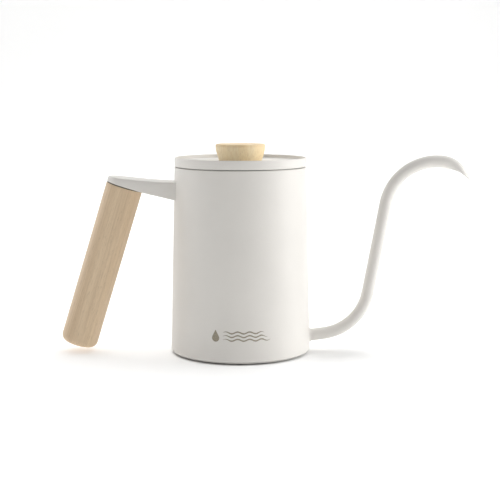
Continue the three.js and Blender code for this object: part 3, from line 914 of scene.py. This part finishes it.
def lid_knob():
    """The turned beech knob: a narrow foot swelling to a flat top."""
    foot = KNOB_LOW.z
    top = KNOB_HIGH.z
    radius = KNOB_HIGH.x
    edge = KNOB_EDGE_RADIUS
    side_chords = 16
    edge_chords = 8
    hole = [
        (0, foot + KNOB_HOLE_DEPTH, 0),
        (KNOB_HOLE_RADIUS, foot + KNOB_HOLE_DEPTH, 0),
        (KNOB_HOLE_RADIUS, foot + KNOB_RECESS_DEPTH, 0),
        (KNOB_RECESS_RADIUS, foot + KNOB_RECESS_DEPTH, 0),
        (KNOB_RECESS_RADIUS, foot, 0),
    ]
    curve = (
        Vector((KNOB_FOOT_RADIUS, foot)),
        Vector((KNOB_FOOT_RADIUS + 0.95, foot + 3.2)),
        Vector((radius, foot + 6)),
        Vector((radius, top - 2)),
    )
    side = [bezier(curve, k / side_chords) for k in range(side_chords + 1)]
    centre = Vector((radius - edge, top - edge))
    turns = [math.pi / 2 * k / edge_chords for k in range(edge_chords + 1)]
    rim = [centre + edge * Vector((math.cos(t), math.sin(t))) for t in turns]
    face = [Vector((r, top)) for r in (10, 5, 0)]
    outline = rounded(hole, closed=False) + side + rim + face
    knob = turned("knob_wood", outline, [KNOB_WOOD_LIT], closed=False)
    set_up(knob, "lid", "beech", "lid_knob")


def bezier(points, t):
    """A point on a cubic curve."""
    a, b, c, d = points
    s = 1 - t
    return s ** 3 * a + 3 * s * s * t * b + 3 * s * t * t * c + t ** 3 * d


def knob_fixing():
    """The screw and washer under the liner."""
    seat = SCREW_LOW.z + SCREW_HEAD_HEIGHT
    head = SCREW_HIGH.x
    corners = [
        (0, SCREW_LOW.z, 0),
        (head, SCREW_LOW.z, 0.8),
        (head, seat, 0.15),
        (SCREW_RADIUS, seat, 0.15),
        (SCREW_RADIUS, SCREW_HIGH.z, 0.4),
        (0, SCREW_HIGH.z, 0),
    ]
    screw = turned("lid_screw", rounded(corners, closed=False), [FASTENER], SMALL_SIDES, closed=False)
    socket_place = Matrix.Translation((0, 0, SCREW_LOW.z * MM))
    cut(screw, bar("socket", SOCKET_RADIUS, -1, SOCKET_DEPTH, 6, socket_place))
    set_up(screw, "lid", "fastener_steel", "knob_screw")
    ring = [
        (SCREW_HOLE, WASHER_LOW.z, 0.1),
        (WASHER_HIGH.x, WASHER_LOW.z, 0.2),
        (WASHER_HIGH.x, WASHER_HIGH.z, 0.2),
        (SCREW_HOLE, WASHER_HIGH.z, 0.1),
    ]
    washer = turned("lid_washer", rounded(ring), [FASTENER], SMALL_SIDES)
    set_up(washer, "lid", "fastener_steel", "knob_washer")


# ------------------------------------------------------------------ printed ornament

ORNAMENT_HEIGHT = 17.7
ORNAMENT_START = -17.2
ORNAMENT_LENGTH = 36.0
INK_PROUD = 0.03
INK_SUNK = 0.02
DROP_RADIUS = 2.3
DROP_POINT = 5.0  # from the centre of the drop's round end to its point
DROP_SINK = 1.2  # of that centre below the ornament's middle
WAVE_START = 6.8
WAVE_SPACING = 2.2
WAVE_LENGTH = 7.2
WAVE_SWING = 0.55
WAVE_HALF_THICKNESS = 0.42
WAVE_SHORTER = 2.0  # each wave ends this much before the one under it


def on_shell(run, z, proud):
    """A point on the shell's front, run being the distance round it from the middle."""
    radius = shell_radius(z) + proud
    angle = run / radius
    return (radius * math.sin(angle), -radius * math.cos(angle), z)


def ribbon(stations):
    """Vertices and faces of a thin printed patch from (run, low, high) stations."""
    vertices = []
    faces = []
    for run, low, high in stations:
        vertices += [on_shell(run, z, proud) for z in (low, high) for proud in (-INK_SUNK, INK_PROUD)]
    count = len(stations)
    for i in range(count - 1):
        a = 4 * i
        b = a + 4
        faces += [(a + 1, b + 1, b + 3, a + 3), (a, a + 2, b + 2, b), (a, b, b + 1, a + 1)]
        faces.append((a + 2, a + 3, b + 3, b + 2))
    last = 4 * (count - 1)
    faces += [(0, 1, 3, 2), (last, last + 2, last + 3, last + 1)]
    return vertices, faces


def drop_stations():
    """A water drop, point up."""
    steps = 24
    kept = 0.999  # share of the radius reached, so that the first and last stations keep a height
    side = math.sqrt(DROP_POINT ** 2 - DROP_RADIUS ** 2)
    tangent = side * DROP_RADIUS / DROP_POINT
    centre = ORNAMENT_HEIGHT - DROP_SINK
    stations = []
    for k in range(steps + 1):
        u = -math.cos(math.pi * k / steps) * DROP_RADIUS * kept
        low = -math.sqrt(DROP_RADIUS ** 2 - u ** 2)
        high = DROP_POINT - abs(u) * side / DROP_RADIUS if abs(u) < tangent else -low
        stations.append((ORNAMENT_START + DROP_RADIUS + u, centre + low, centre + high))
    return stations


def wave_stations(height, start, end):
    """A wavy line of even thickness that thins to its ends."""
    stations = []
    steps = 120
    tip = 0.08
    taper = 6
    for k in range(steps + 1):
        share = k / steps
        run = start + (end - start) * share
        middle = height + WAVE_SWING * math.sin(2 * math.pi * (run - start) / WAVE_LENGTH)
        half = WAVE_HALF_THICKNESS * min(1, tip + taper * share, tip + taper * (1 - share))
        stations.append((run, middle - half, middle + half))
    return stations


def ornament():
    """A plain drop and three wavy lines, printed low on the front."""
    end = ORNAMENT_START + ORNAMENT_LENGTH
    patches = [ribbon(drop_stations())]
    for k in range(3):
        height = ORNAMENT_HEIGHT + WAVE_SPACING * (k - 1)
        patches.append(ribbon(wave_stations(height, ORNAMENT_START + WAVE_START, end - WAVE_SHORTER * k)))
    vertices = []
    faces = []
    for points, patch_faces in patches:
        offset = len(vertices)
        vertices += points
        faces += [tuple(i + offset for i in face) for face in patch_faces]
    mark = make_object("printed_ornament", vertices, faces, [INK])
    set_up(mark, "kettle", None)


# ------------------------------------------------------------------ hidden CAD nodes


def dress(node, material):
    """Gives a CAD node that stays its material."""
    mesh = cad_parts[node].data
    mesh.materials.clear()
    mesh.materials.append(material)


def build_kettle():
    """Every piece of the kettle."""
    body_shell()
    base_disc()
    spout_tube()
    spout_collar()
    handle_arm()
    handle_grip()
    grip_gasket()
    lid_cap()
    lid_liner()
    lid_seal()
    lid_knob()
    knob_fixing()
    ornament()
    dress("grip_insert", BRASS)
    dress("knob_insert", BRASS)
    dress("grip_stud", FASTENER)
    dress("knob_gasket", SILICONE)


# ------------------------------------------------------------------ stage, light and camera


# From here on, sizes are in metres.
BACKDROP_LIGHT = 16.0  # watts
FLOOR_GLOW = 0.3
POT_SHADE = (0.0425, 0.0437)  # painted contact shadow: the glow starts and is full at these distances from the pot's axis
# a painted shadow of the spout, where the floor's glow is dimmed beside the pot
SPOUT_SHADE_AT = (0.058, -0.008)
SPOUT_SHADE_SIZE = (0.034, 0.030)
CAMERA_PLACE = (0.00593, -0.73366, 0.16095)
CAMERA_DIP = math.radians(7.531)
CAMERA_LENS = 85.24


def floor_glow(box):
    """The floor's glow, with painted shadows: none under the pot, and less beside it, under the spout."""
    clear_of_pot = box.between(box.length(box.place()), 0, 1, *POT_SHADE)
    scale = [1 / size for size in SPOUT_SHADE_SIZE]
    shift = [-at * s for at, s in zip(SPOUT_SHADE_AT, scale)]
    from_spout_shade = box.length(box.place((*scale, 1), (*shift, 0)))
    clear_of_spout = box.between(from_spout_shade, 0, FLOOR_GLOW, 0.35, 1.25)
    return box.product(clear_of_pot, clear_of_spout)


def stage():
    """A pale floor that curves up into a backdrop."""
    width = 6.0
    front = -4.0
    back = 2.2
    radius = 0.9
    height = 4.0
    chords = 24
    profile = [(front, 0), (back - radius, 0)]
    profile += [
        (back - radius + radius * math.sin(t), radius - radius * math.cos(t))
        for t in (math.pi / 2 * k / chords for k in range(1, chords + 1))
    ]
    profile.append((back, height))
    vertices = [(x, y, z) for y, z in profile for x in (-width / 2, width / 2)]
    faces = [(2 * i, 2 * i + 1, 2 * i + 3, 2 * i + 2) for i in range(len(profile) - 1)]
    mesh = bpy.data.meshes.new("backdrop")
    mesh.from_pydata(vertices, [], faces)
    mesh.shade_smooth()
    white = (0.92, 0.92, 0.915, 1)
    box = Paintbox("backdrop_white", Base_Color=white, Roughness=0.9, Specular_IOR_Level=0.1)
    box.shader.inputs["Emission Color"].default_value = (1, 1, 1, 1)
    # The floor glows, with painted shadows round the pot and under the spout.
    box.link(floor_glow(box), "Emission Strength")
    mesh.materials.append(box.material)
    floor = bpy.data.objects.new("backdrop", mesh)
    bpy.context.scene.collection.objects.link(floor)


LIGHTS = (  # name, degrees round from +X, degrees up, distance, width, height, watts
    ("right", 4, 12, 1.3, 1.0, 1.2, 16.1),
    ("right_front", -32, 14, 1.4, 0.8, 1.0, 2),
    ("left", 176, 14, 1.3, 0.9, 1.2, 5.3),
    ("left_back", 140, 14, 1.4, 0.9, 1.2, 2.7),
    ("front", -90, 30, 1.7, 1.2, 0.8, 3.3),
    ("top", 90, 84, 1.5, 2.2, 1.8, 10.9),
    ("top_back", 90, 50, 1.7, 2.4, 1.0, 4.4),
)


def area_light(name, place, target, size, power):
    """A rectangular soft light aimed at a point."""
    data = bpy.data.lights.new(name, "AREA")
    data.shape = "RECTANGLE"
    data.size, data.size_y = size
    data.energy = power
    light = bpy.data.objects.new(name, data)
    light.location = place
    light.rotation_euler = (Vector(target) - Vector(place)).to_track_quat("-Z", "Y").to_euler()
    bpy.context.scene.collection.objects.link(light)


def lights():
    """Soft lights round the kettle, a wash on the backdrop, and a world that gives no light."""
    middle = Vector((0, 0, 0.06))
    for name, around, up, distance, width, height, power in LIGHTS:
        around = math.radians(around)
        up = math.radians(up)
        way = Vector((math.cos(around) * math.cos(up), math.sin(around) * math.cos(up), math.sin(up)))
        area_light(name, middle + way * distance, middle, (width, height), power)
    area_light("backdrop_wash", (0, 0.9, 2.1), (0, 2.2, 0.7), (3.0, 0.6), BACKDROP_LIGHT)
    world = bpy.data.worlds.new("studio")
    bpy.context.scene.world = world
    world.use_nodes = True
    world.node_tree.nodes["Background"].inputs["Strength"].default_value = 0


def camera():
    """The photograph's view: from a little above the lid, looking slightly down."""
    data = bpy.data.cameras.new("camera")
    data.sensor_width = 36
    data.lens = CAMERA_LENS
    data.clip_start = 0.05
    made = bpy.data.objects.new("camera", data)
    made.location = CAMERA_PLACE
    made.rotation_euler = (math.pi / 2 - CAMERA_DIP, 0, 0)
    bpy.context.scene.collection.objects.link(made)
    bpy.context.scene.camera = made


build_kettle()
stage()
lights()
camera()
bpy.context.scene.view_settings.view_transform = "Standard"
